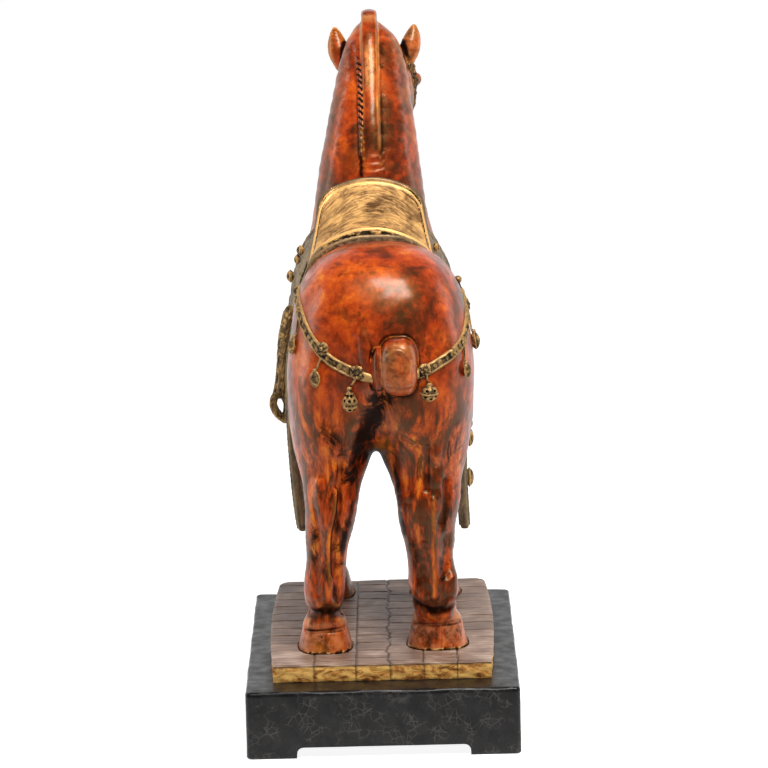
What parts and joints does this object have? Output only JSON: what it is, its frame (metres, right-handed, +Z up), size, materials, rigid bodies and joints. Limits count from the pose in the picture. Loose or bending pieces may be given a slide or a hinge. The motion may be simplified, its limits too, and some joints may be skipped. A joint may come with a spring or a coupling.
{
  "type": "horse statue",
  "caption": "Tang style standing horse with hogged mane, gilt saddle, mud flaps and hung crupper, carved and red lacquered, on a planked ground slab and a black bracket-foot plinth.",
  "frame": {"origin": "middle of the plinth's underside, on the surface that it stands on", "axes": "+Z up, +Y the way the horse faces, away from the picture's camera, +X to the horse's right"},
  "size_m": [0.24, 0.362, 0.6206],
  "materials": {
    "red_lacquer": "glossy rust red and orange lacquer over carved wood, mottled dark umber, black in the recesses",
    "gilding": "worn dull gold paint over carved wood, dark in the grooves, satin",
    "slab_gilding": "dull grey brown top with dark plank joints, scraped gold on the near edge, satin",
    "black_lacquer": "black lacquer, glossy and brushed on top, eggshell crackle on the sides"
  },
  "bodies": {
    "root": {"horse": "red_lacquer", "ground_slab": "slab_gilding", "plinth": "black_lacquer"}
  },
  "joints": []
}
